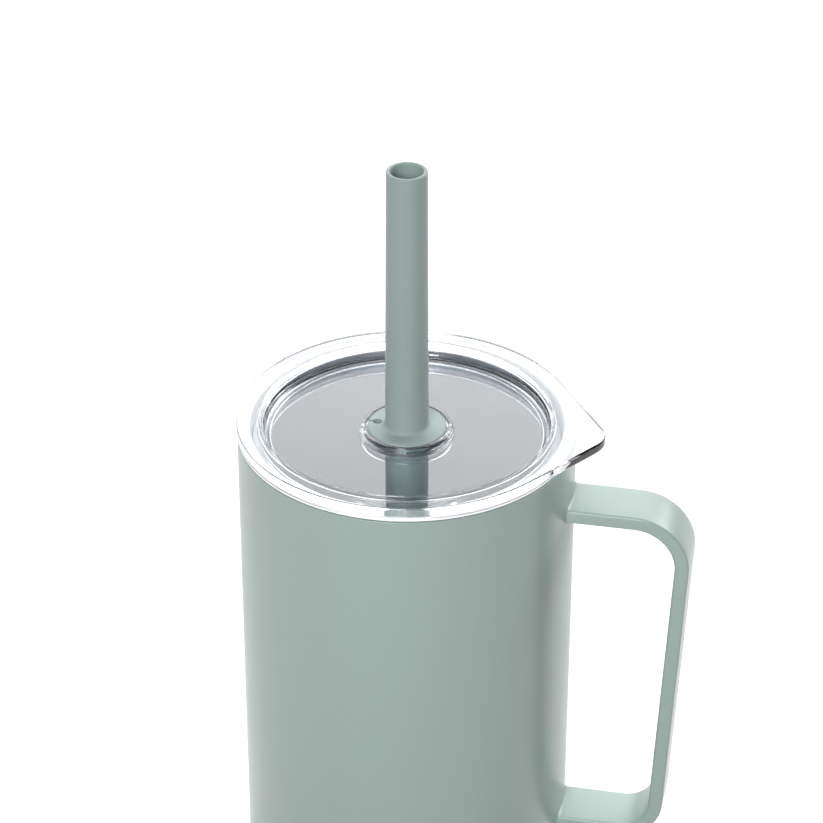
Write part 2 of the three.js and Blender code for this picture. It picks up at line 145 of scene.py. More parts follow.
def profile(corners: Sequence[Corner], ring: bool) -> list[Point]:
    """Rounds a profile's corners and adds a point near each end of its long straight runs.

    Args:
        corners: The corners, with the solid on the left-hand side.
        ring: Whether the profile closes on itself; otherwise it starts and ends on the axis.

    Returns:
        The profile's points.
    """
    spots = [Vector((c.radius, c.height)) for c in corners]
    last = len(corners) - 1
    rounded: list[Vector] = []
    for index, corner in enumerate(corners):
        on_end = not ring and index in (0, last)
        if on_end or corner.round <= 0:
            rounded.append(spots[index])
        else:
            after = spots[(index + 1) % len(spots)]
            rounded += _corner_arc(spots[index - 1], spots[index], after, corner.round)
    result: list[Point] = []
    for start, end in zip(rounded, rounded[1:] + (rounded[:1] if ring else [])):
        result.append((start.x, start.y))
        length = (end - start).length
        if length > LONG_RUN:
            for share in (RUN_MARGIN / length, 1 - RUN_MARGIN / length):
                spot = start.lerp(end, share)
                result.append((spot.x, spot.y))
    if not ring:
        result.append((rounded[-1].x, rounded[-1].y))
    return result


# ---- meshes ----


def linked(name: str, mesh: bpy.types.Mesh) -> bpy.types.Object:
    """Puts a mesh in the scene as an object at the origin."""
    piece = bpy.data.objects.new(name, mesh)
    bpy.context.scene.collection.objects.link(piece)
    return piece


def smooth(mesh: bpy.types.Mesh, sharp: float = math.radians(40)) -> None:
    """Shades a mesh smooth but for edges sharper than the given angle."""
    mesh.polygons.foreach_set("use_smooth", [True] * len(mesh.polygons))
    mesh.set_sharp_from_angle(angle=sharp)
    mesh.update()


def lattice(name: str, rows: Sequence[Sequence[Vector]], ring: bool) -> bpy.types.Object:
    """Skins rows of points that go once round the Z axis.

    Args:
        name: The new object's name.
        rows: One row of profile points for each angle, all of one length.
        ring: Whether each row closes on itself; otherwise its ends lie on the axis.

    Returns:
        The closed surface as an object, with its faces pointing out.
    """
    count = len(rows[0])
    vertices: list[Vector] = []
    where: list[list[int]] = []
    poles = {} if ring else {0: 0, count - 1: 1}
    if poles:
        vertices += [rows[0][0], rows[0][-1]]
    for row in rows:
        indices = []
        for j, spot in enumerate(row):
            if j in poles:
                indices.append(poles[j])
            else:
                indices.append(len(vertices))
                vertices.append(spot)
        where.append(indices)
    faces = []
    for i, here in enumerate(where):
        there = where[(i + 1) % len(where)]
        for j in range(count if ring else count - 1):
            k = (j + 1) % count
            faces.append(list(dict.fromkeys((here[j], there[j], there[k], here[k]))))
    mesh = bpy.data.meshes.new(name)
    mesh.from_pydata(vertices, [], faces)
    smooth(mesh)
    return linked(name, mesh)


def disc(radius: float, foot: float, top: float, foot_round: float, top_round: float) -> list[Corner]:
    """The corners of a plain disc on the axis, its two edges rounded."""
    return [
        Corner(0, foot),
        Corner(radius, foot, foot_round),
        Corner(radius, top, top_round),
        Corner(0, top),
    ]


def turned(name: str, points: Sequence[Point], ring: bool, steps: int, x: float) -> bpy.types.Object:
    """Turns a profile round the Z axis, or round a parallel axis at the given x."""
    rows = []
    for i in range(steps):
        angle = 2 * math.pi * i / steps
        cosine, sine = math.cos(angle), math.sin(angle)
        rows.append([Vector((x + r * cosine, r * sine, z)) for r, z in points])
    return lattice(name, rows, ring)


def spun(
    name: str, corners: Sequence[Corner], ring: bool, steps: int = PLAIN_TURN, x: float = 0.0
) -> bpy.types.Object:
    """Rounds a profile's corners and turns it, as turned does."""
    return turned(name, profile(corners, ring), ring, steps, x)


def cut(piece: bpy.types.Object, cutters: Iterable[bpy.types.Object]) -> None:
    """Cuts other objects out of a piece for good, and removes them."""
    for cutter in cutters:
        modifier = piece.modifiers.new("cut", "BOOLEAN")
        modifier.operation = "DIFFERENCE"
        modifier.solver = "EXACT"
        modifier.object = cutter
        settle(piece)
        bpy.data.objects.remove(cutter)
    smooth(piece.data)


def settle(piece: bpy.types.Object) -> None:
    """Turns a piece and its modifiers into a plain mesh."""
    graph = bpy.context.evaluated_depsgraph_get()
    mesh = bpy.data.meshes.new_from_object(piece.evaluated_get(graph))
    mesh.name = piece.name
    piece.modifiers.clear()
    piece.data = mesh


# ---- node trees ----


class Tree:
    """Writes one node tree: adds nodes with their values, and links sockets."""

    def __init__(self, tree: bpy.types.NodeTree) -> None:
        """Keeps the tree that is written."""
        self.tree = tree

    def put(self, value: object, place: bpy.types.NodeSocket) -> None:
        """Sets an input to a value, or links it to a socket or to a node's first output."""
        if isinstance(value, bpy.types.Node):
            value = value.outputs[0]
        if isinstance(value, bpy.types.NodeSocket):
            self.tree.links.new(value, place)
        else:
            place.default_value = value

    def fill(self, node: bpy.types.Node, **settings: object) -> bpy.types.Node:
        """Sets up a node.

        Args:
            node: The node.
            settings: The node's properties, then what goes into its inputs, by their names with
                _ for spaces.

        Returns:
            The same node.
        """
        for key, value in settings.items():
            if key in node.bl_rna.properties:
                setattr(node, key, value)
            else:
                self.put(value, node.inputs[key.replace("_", " ")])
        return node

    def add(self, kind: str, **settings: object) -> bpy.types.Node:
        """Adds a node of a kind and sets it up."""
        return self.fill(self.tree.nodes.new(kind), **settings)

    def math(self, operation: str, first: object, second: object = 0.0) -> bpy.types.NodeSocket:
        """Adds a Math node on numbers or sockets and returns its output."""
        node = self.add("ShaderNodeMath", operation=operation)
        self.put(first, node.inputs[0])
        self.put(second, node.inputs[1])
        return node.outputs[0]

    def from_axis(self, parts: bpy.types.Node) -> bpy.types.NodeSocket:
        """Adds the distance from the Z axis of a place taken apart by a Separate XYZ node."""
        squares = [self.math("MULTIPLY", parts.outputs[k], parts.outputs[k]) for k in ("X", "Y")]
        return self.math("SQRT", self.math("ADD", *squares))

    def blend(self, share: object, first: object, second: object) -> bpy.types.NodeSocket:
        """Adds a mix of two colours and returns its output."""
        node = self.add("ShaderNodeMix", data_type="RGBA")
        for place, value in ((MIX_SHARE, share), (MIX_FIRST, first), (MIX_SECOND, second)):
            self.put(value, node.inputs[place])
        return node.outputs[MIX_RESULT]

    def spread(self, value: object, low: float, high: float) -> bpy.types.NodeSocket:
        """Adds a map of a value from 0 to 1 onto a range, and returns its output."""
        return self.add("ShaderNodeMapRange", Value=value, To_Min=low, To_Max=high).outputs[0]

    def bump(self, height: object, distance: float) -> bpy.types.NodeSocket:
        """Adds a bump of the given depth and returns its normal."""
        return self.add("ShaderNodeBump", Strength=1.0, Distance=distance, Height=height).outputs[0]


def new_group(
    name: str, kind: str, inputs: dict[str, object], outputs: dict[str, str]
) -> tuple[Tree, object]:
    """Starts a node group.

    Args:
        name: The group's name.
        kind: The kind of tree.
        inputs: Each input's type of socket, or a number's first value.
        outputs: Each output's type of socket.

    Returns:
        The group's writer and the sockets that give its inputs.
    """
    tree = Tree(bpy.data.node_groups.new(name, kind))
    for side, sockets in (("INPUT", inputs), ("OUTPUT", outputs)):
        for key, value in sockets.items():
            number = isinstance(value, float)
            socket_type = NUMBER if number else value
            made = tree.tree.interface.new_socket(key, in_out=side, socket_type=socket_type)
            if number:
                made.default_value = value
    return tree, tree.add("NodeGroupInput").outputs


def strap_tree() -> bpy.types.NodeTree:
    """A tree that sweeps a flat bar along a path and flares its ends onto a round wall."""
    numbers = dict.fromkeys(("Width", "Thickness", "Edge Round", "Wall Radius", "Flare"), 0.0)
    inputs = {"Path": GEOMETRY, **numbers, "Finish": MATERIAL}
    tree, given = new_group("bent_bar", "GeometryNodeTree", inputs, {"Bar": GEOMETRY})
    path = tree.add("GeometryNodeMeshToCurve", Mesh=given["Path"])
    section = tree.add(
        "GeometryNodeCurvePrimitiveQuadrilateral", Width=given["Width"], Height=given["Thickness"]
    )
    softened = tree.add(
        "GeometryNodeFilletCurve", mode="POLY", Count=6, Curve=section, Radius=given["Edge Round"]
    )
    denser = tree.add("GeometryNodeSubdivideCurve", Cuts=2, Curve=softened)
    bar = tree.add("GeometryNodeCurveToMesh", Fill_Caps=True, Curve=path, Profile_Curve=denser)
    # Distance of each point from the round wall, as a share of the flare's size.
    place = tree.add("GeometryNodeInputPosition")
    parts = tree.add("ShaderNodeSeparateXYZ", Vector=place)
    away = tree.math("SUBTRACT", tree.from_axis(parts), given["Wall Radius"])
    share = tree.math("DIVIDE", away, given["Flare"])
    near = tree.math("SUBTRACT", 1.0, tree.math("MINIMUM", tree.math("MAXIMUM", share, 0.0), 1.0))
    # A quarter circle: no growth where the flare starts, its full size on the wall.
    fall = tree.math("SQRT", tree.math("SUBTRACT", 1.0, tree.math("MULTIPLY", near, near)))
    growth = tree.math("MULTIPLY", tree.math("SUBTRACT", 1.0, fall), given["Flare"])
    normal = tree.add("GeometryNodeInputNormal")
    outward = tree.add("ShaderNodeVectorMath", operation="SCALE", Vector=normal, Scale=growth)
    flared = tree.add("GeometryNodeSetPosition", Geometry=bar, Offset=outward)
    real = tree.add("GeometryNodeRealizeInstances", Geometry=flared)
    painted = tree.add("GeometryNodeSetMaterial", Geometry=real, Material=given["Finish"])
    tree.add("NodeGroupOutput", Bar=painted)
    return tree.tree


def rings_tree() -> bpy.types.NodeTree:
    """A tree that lays a set of evenly spaced round beads, one inside the next."""
    numbers = dict.fromkeys(("First Radius", "Spacing", "Bead Radius", "Height"), 0.0)
    inputs = {"Start": GEOMETRY, "Count": WHOLE_NUMBER, **numbers, "Finish": MATERIAL}
    tree, given = new_group("bead_rings", "GeometryNodeTree", inputs, {"Rings": GEOMETRY})
    spots = tree.add("GeometryNodeMeshLine", mode="OFFSET", Offset=(0.0, 0.0, 0.0), Count=given["Count"])
    circle = tree.add("GeometryNodeCurvePrimitiveCircle", Resolution=128, Radius=1.0)
    steps = tree.math("MULTIPLY", tree.add("GeometryNodeInputIndex"), given["Spacing"])
    radius = tree.math("ADD", given["First Radius"], steps)
    scale = tree.add("ShaderNodeCombineXYZ", X=radius, Y=radius, Z=1.0)
    copies = tree.add("GeometryNodeInstanceOnPoints", Points=spots, Instance=circle, Scale=scale)
    real = tree.add("GeometryNodeRealizeInstances", Geometry=copies)
    section = tree.add("GeometryNodeCurvePrimitiveCircle", Resolution=12, Radius=given["Bead Radius"])
    beads = tree.add("GeometryNodeCurveToMesh", Curve=real, Profile_Curve=section)
    lift = tree.add("ShaderNodeCombineXYZ", Z=given["Height"])
    raised = tree.add("GeometryNodeSetPosition", Geometry=beads, Offset=lift)
    painted = tree.add("GeometryNodeSetMaterial", Geometry=raised, Material=given["Finish"])
    tree.add("NodeGroupOutput", Rings=painted)
    return tree.tree


def grow(piece: bpy.types.Object, tree: bpy.types.NodeTree, values: dict[str, object]) -> None:
    """Runs a geometry node tree on an object for good.

    Args:
        piece: The object that gives the tree its geometry and takes the result.
        tree: The geometry node tree.
        values: The tree's inputs by name.
    """
    modifier = piece.modifiers.new("grow", "NODES")
    modifier.node_group = tree
    for item in tree.interface.items_tree:
        if item.item_type == "SOCKET" and item.in_out == "INPUT" and item.name in values:
            modifier[item.identifier] = values[item.name]
    settle(piece)


# ---- shared shader groups ----


@cache
def grain_group() -> bpy.types.NodeTree:
    """Fine grain: a height for Bump and a slow cloud for colour and gloss."""
    scales = {"Grain Scale": 900.0, "Cloud Scale": 30.0}
    outputs = {"Height": NUMBER, "Cloud": NUMBER}
    tree, given = new_group("fine_grain", "ShaderNodeTree", scales, outputs)
    place = tree.add("ShaderNodeTexCoord").outputs["Object"]
    fine, slow = (
        tree.add("ShaderNodeTexNoise", Vector=place, Scale=given[key], Detail=detail, Roughness=rough)
        for key, detail, rough in (("Grain Scale", 3.0, 0.55), ("Cloud Scale", 4.0, 0.5))
    )
    tree.add("NodeGroupOutput", Height=fine, Cloud=slow)
    return tree.tree


@cache
def brush_group() -> bpy.types.NodeTree:
    """Lines left by a turned brush: they run round the Z axis, on walls and floors alike."""
    scales = {"Along Scale": 12.0, "Across Scale": 2600.0}
    tree, given = new_group("turned_brush", "ShaderNodeTree", scales, {"Lines": NUMBER})
    place = tree.add("ShaderNodeTexCoord").outputs["Object"]
    parts = tree.add("ShaderNodeSeparateXYZ", Vector=place)
    across = tree.math("ADD", tree.from_axis(parts), parts.outputs["Z"])
    along_x, along_y = (tree.math("MULTIPLY", parts.outputs[k], given["Along Scale"]) for k in ("X", "Y"))
    spot = tree.add(
        "ShaderNodeCombineXYZ", X=along_x, Y=along_y, Z=tree.math("MULTIPLY", across, given["Across Scale"])
    )
    lines = tree.add("ShaderNodeTexNoise", Vector=spot, Scale=1.0, Detail=4.0, Roughness=0.65)
    tree.add("NodeGroupOutput", Lines=lines)
    return tree.tree


# ---- finishes ----


def new_material(name: str) -> tuple[bpy.types.Material, Tree, bpy.types.Node]:
    """A material with a Principled BSDF on its output.

    Args:
        name: The material's name.

    Returns:
        The material, its tree's writer and the Principled BSDF.
    """
    material = bpy.data.materials.new(name)
    material.use_nodes = True
    material.node_tree.nodes.clear()
    tree = Tree(material.node_tree)
    shader = tree.add("ShaderNodeBsdfPrincipled")
    tree.add("ShaderNodeOutputMaterial", Surface=shader)
    return material, tree, shader


def shaded(colour: Colour, factor: float) -> tuple[float, float, float, float]:
    """A colour made lighter or darker, with alpha."""
    return (*(min(1.0, c * factor) for c in colour), 1.0)


@dataclass(frozen=True)
class GrainedFinish:
    """An opaque finish with fine grain, a slow change of tone and a change of gloss."""

    name: str
    colour: Colour
    roughness: float
    metallic: float = 0.0
    ior: float = 1.5
    grain_scale: float = 900.0
    grain_height: float = 0.02 * MM
    cloud_scale: float = 30.0
    tone_range: float = 0.03
    gloss_range: float = 0.05
    sheen: float = 0.0
    sheen_roughness: float = 0.3

    def material(self) -> bpy.types.Material:
        """Makes the material."""
        material, tree, shader = new_material(self.name)
        scales = {"Grain_Scale": self.grain_scale, "Cloud_Scale": self.cloud_scale}
        grain = tree.add("ShaderNodeGroup", node_tree=grain_group(), **scales)
        cloud = grain.outputs["Cloud"]
        dark, light = (shaded(self.colour, 1 + sign * self.tone_range) for sign in (-1, 1))
        low, high = (self.roughness + sign * self.gloss_range for sign in (-1, 1))
        tree.fill(
            shader,
            Base_Color=tree.blend(cloud, dark, light),
            Roughness=tree.spread(cloud, low, high),
            Normal=tree.bump(grain.outputs["Height"], self.grain_height),
            Metallic=self.metallic,
            IOR=self.ior,
            Sheen_Weight=self.sheen,
            Sheen_Roughness=self.sheen_roughness,
        )
        return material


@dataclass(frozen=True)
class BrushedFinish:
    """Bare metal with lines from a turned brush."""

    name: str
    colour: Colour
    roughness: float
    line_height: float = 0.0012 * MM
    along_scale: float = 12.0
    across_scale: float = 2600.0
    tones: tuple[float, float] = (0.96, 1.03)
    gloss_change: tuple[float, float] = (-0.04, 0.05)

    def material(self) -> bpy.types.Material:
        """Makes the material."""
        material, tree, shader = new_material(self.name)
        scales = {"Along_Scale": self.along_scale, "Across_Scale": self.across_scale}
        lines = tree.add("ShaderNodeGroup", node_tree=brush_group(), **scales)
        dark, light = (shaded(self.colour, factor) for factor in self.tones)
        low, high = (self.roughness + change for change in self.gloss_change)
        tree.fill(
            shader,
            Base_Color=tree.blend(lines, dark, light),
            Roughness=tree.spread(lines, low, high),
            Normal=tree.bump(lines, self.line_height),
            Metallic=1.0,
        )
        return material


@dataclass(frozen=True)
class ClearFinish:
    """A see-through moulding with faint flow marks and, if wanted, a soft haze."""

    name: str
    colour: Colour
    roughness: float
    ior: float
    wave_scale: float = 60.0
    wave_height: float = 0.002 * MM
    haze: float = 0.0
    lamp_share: float = 0.55

    def material(self) -> bpy.types.Material:
        """Makes the material."""
        material, tree, shader = new_material(self.name)
        grain = tree.add("ShaderNodeGroup", node_tree=grain_group(), Grain_Scale=self.wave_scale)
        tree.fill(
            shader,
            Base_Color=(*self.colour, 1.0),
            Transmission_Weight=1.0,
            IOR=self.ior,
            Roughness=tree.spread(grain.outputs["Cloud"], self.roughness, self.roughness + self.haze),
            Normal=tree.bump(grain.outputs["Height"], self.wave_height),
        )
        self.pass_lamps(tree, shader)
        return material

    def pass_lamps(self, tree: Tree, shader: bpy.types.Node) -> None:
        """Lets the lamps' light reach what is behind the moulding, a little dimmed.

        Args:
            tree: The material's tree.
            shader: The Principled BSDF on its output.
        """
        output = shader.outputs[0].links[0].to_node
        clear = tree.add("ShaderNodeBsdfTransparent", Color=shaded(self.colour, self.lamp_share))
        in_shadow = tree.add("ShaderNodeLightPath").outputs["Is Shadow Ray"]
        either = tree.add("ShaderNodeMixShader")
        for place, value in enumerate((in_shadow, shader, clear)):
            tree.put(value, either.inputs[place])
        tree.fill(output, Surface=either)


FINISHES = {
    Slot.POWDER_COAT: GrainedFinish(
        "sage_powder_coat",
        (0.335, 0.432, 0.399),
        0.33,
        grain_scale=1100.0,
        grain_height=0.012 * MM,
        tone_range=0.015,
        sheen=0.12,
    ),
    Slot.STEEL: BrushedFinish("brushed_steel", (0.74, 0.745, 0.76), 0.48),
    Slot.FOIL: BrushedFinish(
        "copper_foil", (0.78, 0.42, 0.27), 0.3, line_height=0.01 * MM, across_scale=500.0
    ),
    Slot.SEAL: GrainedFinish("solder", (0.45, 0.45, 0.46), 0.45, metallic=1.0, grain_height=0.05 * MM),
    Slot.GETTER: GrainedFinish(
        "getter_powder", (0.12, 0.12, 0.13), 0.8, metallic=0.3, grain_height=0.08 * MM
    ),
    Slot.FOOT: GrainedFinish("foot_silicone", (0.2, 0.26, 0.24), 0.62, ior=1.41, sheen=0.1),
    Slot.CLEAR_PLASTIC: ClearFinish("clear_copolyester", (0.93, 0.962, 0.99), 0.0, 1.54),
    Slot.CLEAR_SILICONE: ClearFinish("clear_silicone", (0.9, 0.92, 0.93), 0.25, 1.41, haze=0.1),
    Slot.STRAW: GrainedFinish(
        "sage_silicone",
        (0.302, 0.378, 0.36),
        0.5,
        ior=1.41,
        grain_scale=1500.0,
        grain_height=0.008 * MM,
        sheen=0.35,
    ),
}


@cache
def finish(slot: Slot) -> bpy.types.Material:
    """The material of a slot, made when it is first asked for."""
    return FINISHES[slot].material()


# ---- pieces ----


@dataclass(frozen=True)
class Placed:
    """One finished piece, its body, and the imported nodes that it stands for."""

    piece: bpy.types.Object
    body: Body
    slot: Slot
    nodes: tuple[str, ...]

    def commit(self) -> None:
        """Gives the piece its finish and hands it to the frame."""
        self.piece.data.materials.clear()
        self.piece.data.materials.append(finish(self.slot))
        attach(self.piece, self.body.value)
        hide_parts(*self.nodes)
        LOG.info("%s rides on %s, %d faces", self.piece.name, self.body.value, len(self.piece.data.polygons))


@dataclass(frozen=True)
class CupSizes:
    """The cup's sizes that its box does not give."""

    wall: float = 0.8 * MM
    vacuum_gap: float = 2.0 * MM
    lip_height: float = 1.0 * MM
    lip_round: float = 0.45 * MM
    lip_inner_round: float = 1.2 * MM
    foot_round: float = 5.0 * MM
    foot_flange: float = 1.6 * MM
    floor_round: float = 9.0 * MM
    gap: float = 0.3 * MM
    foil_wall: float = 0.4 * MM
    plate_rim: float = 1.8 * MM
    dimple_radius: float = 5.2 * MM
    dimple_depth: float = 1.2 * MM
    pump_hole: float = 1.5 * MM
    seal_round: float = 0.6 * MM
    pad_round: float = 0.7 * MM
    pad_bead: float = 0.35 * MM
    bead_margin: float = 18.0 * MM
    bead_spacing: float = 7.0 * MM
    bead_count: int = 3
    cut_edge: float = 0.1 * MM
    clip_edge: float = 0.15 * MM
    wall_edge: float = 0.25 * MM
    thin_edge: float = 0.2 * MM
    disc_edge: float = 0.3 * MM
    press_round: float = 0.4 * MM


@dataclass
class Cup:
    """The double-walled cup: both walls, the base, and what is sealed between them."""

    sizes: CupSizes = field(default_factory=CupSizes)

    def outer_shell(self) -> Placed:
        """The drawn outer wall with its foot turned in."""
        s = self.sizes
        low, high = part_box("outer_shell")
        radius, foot, top = high.y, low.z, high.z
        flange = radius - s.foot_round - s.foot_flange
        corners = (
            Corner(flange, foot, s.thin_edge),
            Corner(radius, foot, s.foot_round),
            Corner(radius, top, s.wall_edge),
            Corner(radius - s.wall, top, s.wall_edge),
            Corner(radius - s.wall, foot + s.wall, s.foot_round - s.wall),
            Corner(flange, foot + s.wall, s.thin_edge),
        )
        shell = spun("shell_outer", corners, True, FINE_TURN)
        return Placed(shell, Body.CUP, Slot.POWDER_COAT, ("outer_shell",))

    def inner_liner(self) -> Placed:
        """The steel inner cup, its mouth turned out over the shell."""
        s = self.sizes
        low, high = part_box("inner_liner")
        outer = high.y - s.wall - s.vacuum_gap
        inner = outer - s.wall
        under_lip = high.z - s.lip_height
        corners = (
            Corner(0, low.z),
            Corner(outer, low.z, s.floor_round),
            Corner(outer, under_lip, s.press_round),
            Corner(high.y, under_lip, s.disc_edge),
            Corner(high.y, high.z, s.lip_round),
            Corner(inner, high.z, s.lip_inner_round),
            Corner(inner, low.z + s.wall, s.floor_round - s.wall),
            Corner(0, low.z + s.wall),
        )
        liner = spun("liner_inner", corners, False, FINE_TURN)
        return Placed(liner, Body.CUP, Slot.STEEL, ("inner_liner",))

    def foil(self) -> Placed:
        """The metal wrap round the liner, inside the vacuum."""
        s = self.sizes
        low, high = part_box("radiation_foil")
        outer = high.y
        corners = (
            Corner(0, low.z),
            Corner(outer, low.z, s.floor_round),
            Corner(outer, high.z),
            Corner(outer - s.foil_wall, high.z),
            Corner(outer - s.foil_wall, low.z + s.foil_wall, s.floor_round - s.foil_wall),
            Corner(0, low.z + s.foil_wall),
        )
        return Placed(spun("foil_wrap", corners, False), Body.CUP, Slot.FOIL, ("radiation_foil",))

    def base_plate(self) -> Placed:
        """The pressed disc that closes the foot."""
        s = self.sizes
        low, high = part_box("base_plate")
        pad_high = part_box("foot_pad")[1]
        radius = high.y
        recess = radius - s.plate_rim
        under = pad_high.z + s.gap
        dimple = under + s.dimple_depth
        dimple_outer = s.dimple_radius + s.wall
        corners = (
            Corner(s.pump_hole, dimple, s.cut_edge),
            Corner(s.dimple_radius, dimple, s.press_round),
            Corner(s.dimple_radius, under, s.press_round),
            Corner(recess, under, s.press_round),
            Corner(recess, low.z, s.press_round),
            Corner(radius, low.z, s.disc_edge),
            Corner(radius, under + s.wall, s.disc_edge),
            Corner(dimple_outer, under + s.wall, s.press_round),
            Corner(dimple_outer, high.z, s.disc_edge),
            Corner(s.pump_hole, high.z, s.cut_edge),
        )
        return Placed(spun("plate_base", corners, True), Body.CUP, Slot.STEEL, ("base_plate",))

    def vacuum_seal(self) -> Placed:
        """The bead that closes the pumping hole."""
        low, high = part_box("vacuum_seal")
        corners = disc(high.y, low.z, high.z, self.sizes.seal_round, self.sizes.cut_edge)
        seal = spun("seal_bead", corners, False, SMALL_TURN)
        return Placed(seal, Body.CUP, Slot.SEAL, ("vacuum_seal",))

    def getter_clip(self) -> Placed:
        """The open clip that holds the getter."""
        s = self.sizes
        low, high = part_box("getter_clip")
        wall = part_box("getter_pill")[0].z - low.z - s.gap
        radius = high.y
        inner = radius - wall
        corners = (
            Corner(0, low.z),
            Corner(radius, low.z, s.press_round),
            Corner(radius, high.z, s.clip_edge),
            Corner(inner, high.z, s.clip_edge),
            Corner(inner, low.z + wall, s.thin_edge),
            Corner(0, low.z + wall),
        )
        clip = spun("clip_getter", corners, False, SMALL_TURN, (low.x + high.x) / 2)
        return Placed(clip, Body.CUP, Slot.STEEL, ("getter_clip",))

    def getter_pill(self) -> Placed:
        """The pressed pill that takes up stray gas."""
        low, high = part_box("getter_pill")
        corners = disc(high.y, low.z, high.z, self.sizes.disc_edge, self.sizes.disc_edge)
        pill = spun("pill_getter", corners, False, SMALL_TURN, (low.x + high.x) / 2)
        return Placed(pill, Body.CUP, Slot.GETTER, ("getter_pill",))

    def foot_pad(self) -> Placed:
        """The silicone pad, with three moulded beads standing on its lower face."""
        s = self.sizes
        low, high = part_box("foot_pad")
        foot = low.z + s.pad_bead
        corners = disc(high.y, foot, high.z, s.pad_round, s.thin_edge)
        pad = spun("pad_foot", corners, False)
        beads = linked("pad_beads", bpy.data.meshes.new("pad_beads"))
        values = {
            "Count": s.bead_count,
            "First Radius": high.y - s.bead_margin,
            "Spacing": s.bead_spacing,
            "Bead Radius": s.pad_bead,
            "Height": foot,
            "Finish": finish(Slot.FOOT),
        }
        grow(beads, rings_tree(), values)
        join(pad, beads)
        return Placed(pad, Body.CUP, Slot.FOOT, ("foot_pad",))

    def build(self) -> list[Placed]:
        """Makes every piece of the cup."""
        return [
            self.outer_shell(),
            self.inner_liner(),
            self.foil(),
            self.base_plate(),
            self.vacuum_seal(),
            self.getter_clip(),
            self.getter_pill(),
            self.foot_pad(),
        ]


def join(piece: bpy.types.Object, other: bpy.types.Object) -> None:
    """Adds another object's mesh to a piece and removes that object."""
    mesh = bmesh.new()
    mesh.from_mesh(piece.data)
    mesh.from_mesh(other.data)
    mesh.to_mesh(piece.data)
    mesh.free()
    bpy.data.objects.remove(other)
    smooth(piece.data)


@dataclass
class Handle:
    """The flat bar bent into a C and welded to the shell."""

    thickness: float = 3.9 * MM
    edge_round: float = 0.8 * MM
    lean: float = math.atan(0.048)
    top_bend: float = 15.2 * MM
    bottom_bend: float = 12.6 * MM
    flare: float = 0.7 * MM
    root_depth: float = 0.7 * MM
    root_step: float = 0.2 * MM
    root_points: int = 16
    bend_steps: int = 24
    sharp: float = math.radians(50)

    def path(self, wall: float) -> list[Point]:
        """The bar's middle line in the plane of the handle, from the upper root to the lower one.

        Args:
            wall: The shell's outer radius.

        Returns:
            Points as x and z.
        """
        low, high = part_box("handle")
        half = self.thickness / 2
        slope = self.lean

        def bend_centre(radius: float, height: float) -> float:
            """The x of a bend's centre, so that its outside touches the grip's outer face."""
            return high.x + ((height - high.z) * math.sin(slope) - radius) / math.cos(slope)

        bends = (
            (self.top_bend, high.z - self.top_bend, math.pi / 2, -slope),
            (self.bottom_bend, low.z + self.bottom_bend, -slope, -math.pi / 2),
        )
        root = wall - self.root_depth
        near = [root + self.root_step * k for k in range(self.root_points)]
        line = [(x, high.z - half) for x in near]
        for outside, z, start, end in bends:
            x, radius = bend_centre(outside, z), outside - half
            for k in range(self.bend_steps + 1):
                angle = start + (end - start) * k / self.bend_steps
                line.append((x + radius * math.cos(angle), z + radius * math.sin(angle)))
        line += [(x, low.z + half) for x in reversed(near)]
        return line

    def build(self) -> list[Placed]:
        """Makes the handle."""
        low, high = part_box("handle")
        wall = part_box("outer_shell")[1].y
        line = self.path(wall)
        mesh = bpy.data.meshes.new("handle_bar")
        mesh.from_pydata([(x, 0.0, z) for x, z in line], [(k, k + 1) for k in range(len(line) - 1)], [])
        bar = linked("handle_bar", mesh)
        values = {
            "Width": high.y - low.y,
            "Thickness": self.thickness,
            "Edge Round": self.edge_round,
            "Wall Radius": wall,
            "Flare": self.flare,
            "Finish": finish(Slot.POWDER_COAT),
        }
        grow(bar, strap_tree(), values)
        smooth(bar.data, self.sharp)
        nodes = ("handle", "handle_weld_upper", "handle_weld_lower")
        return [Placed(bar, Body.CUP, Slot.POWDER_COAT, nodes)]


@dataclass(frozen=True)
class LidSizes:
    """The lid's sizes that its box does not give."""

    flange: float = 2.7 * MM
    tab_corner: float = 8.0 * MM
    edge_round: float = 0.6 * MM
    recess_radius: float = 38.7 * MM
    recess_draft: float = 1.2 * MM
    recess_depth: float = 4.4 * MM
    recess_fillet: float = 2.2 * MM
    floor: float = 2.0 * MM
    skirt_wall: float = 2.2 * MM
    skirt_radius: float = 39.2 * MM
    groove_depth: float = 1.2 * MM
    groove_height: float = 2.7 * MM
    groove_lift: float = 0.9 * MM
    collar_bore: float = 6.18 * MM
    collar_seat: float = 10.9 * MM
    collar_wall: float = 1.3 * MM
    collar_drop: float = 2.9 * MM
    collar_foot: float = 9.1 * MM
    seat_drop: float = 4.7 * MM
    ledge: float = 2.0 * MM
    small_round: float = 0.35 * MM
    soft_edge: float = 0.5 * MM
    root_round: float = 0.8 * MM
    groove_edge: float = 0.15 * MM
    groove_root: float = 0.2 * MM
    collar_edge: float = 0.4 * MM
    ledge_root: float = 0.3 * MM
    rim_band: float = 2.0 * MM
    still_band: float = 3.0 * MM


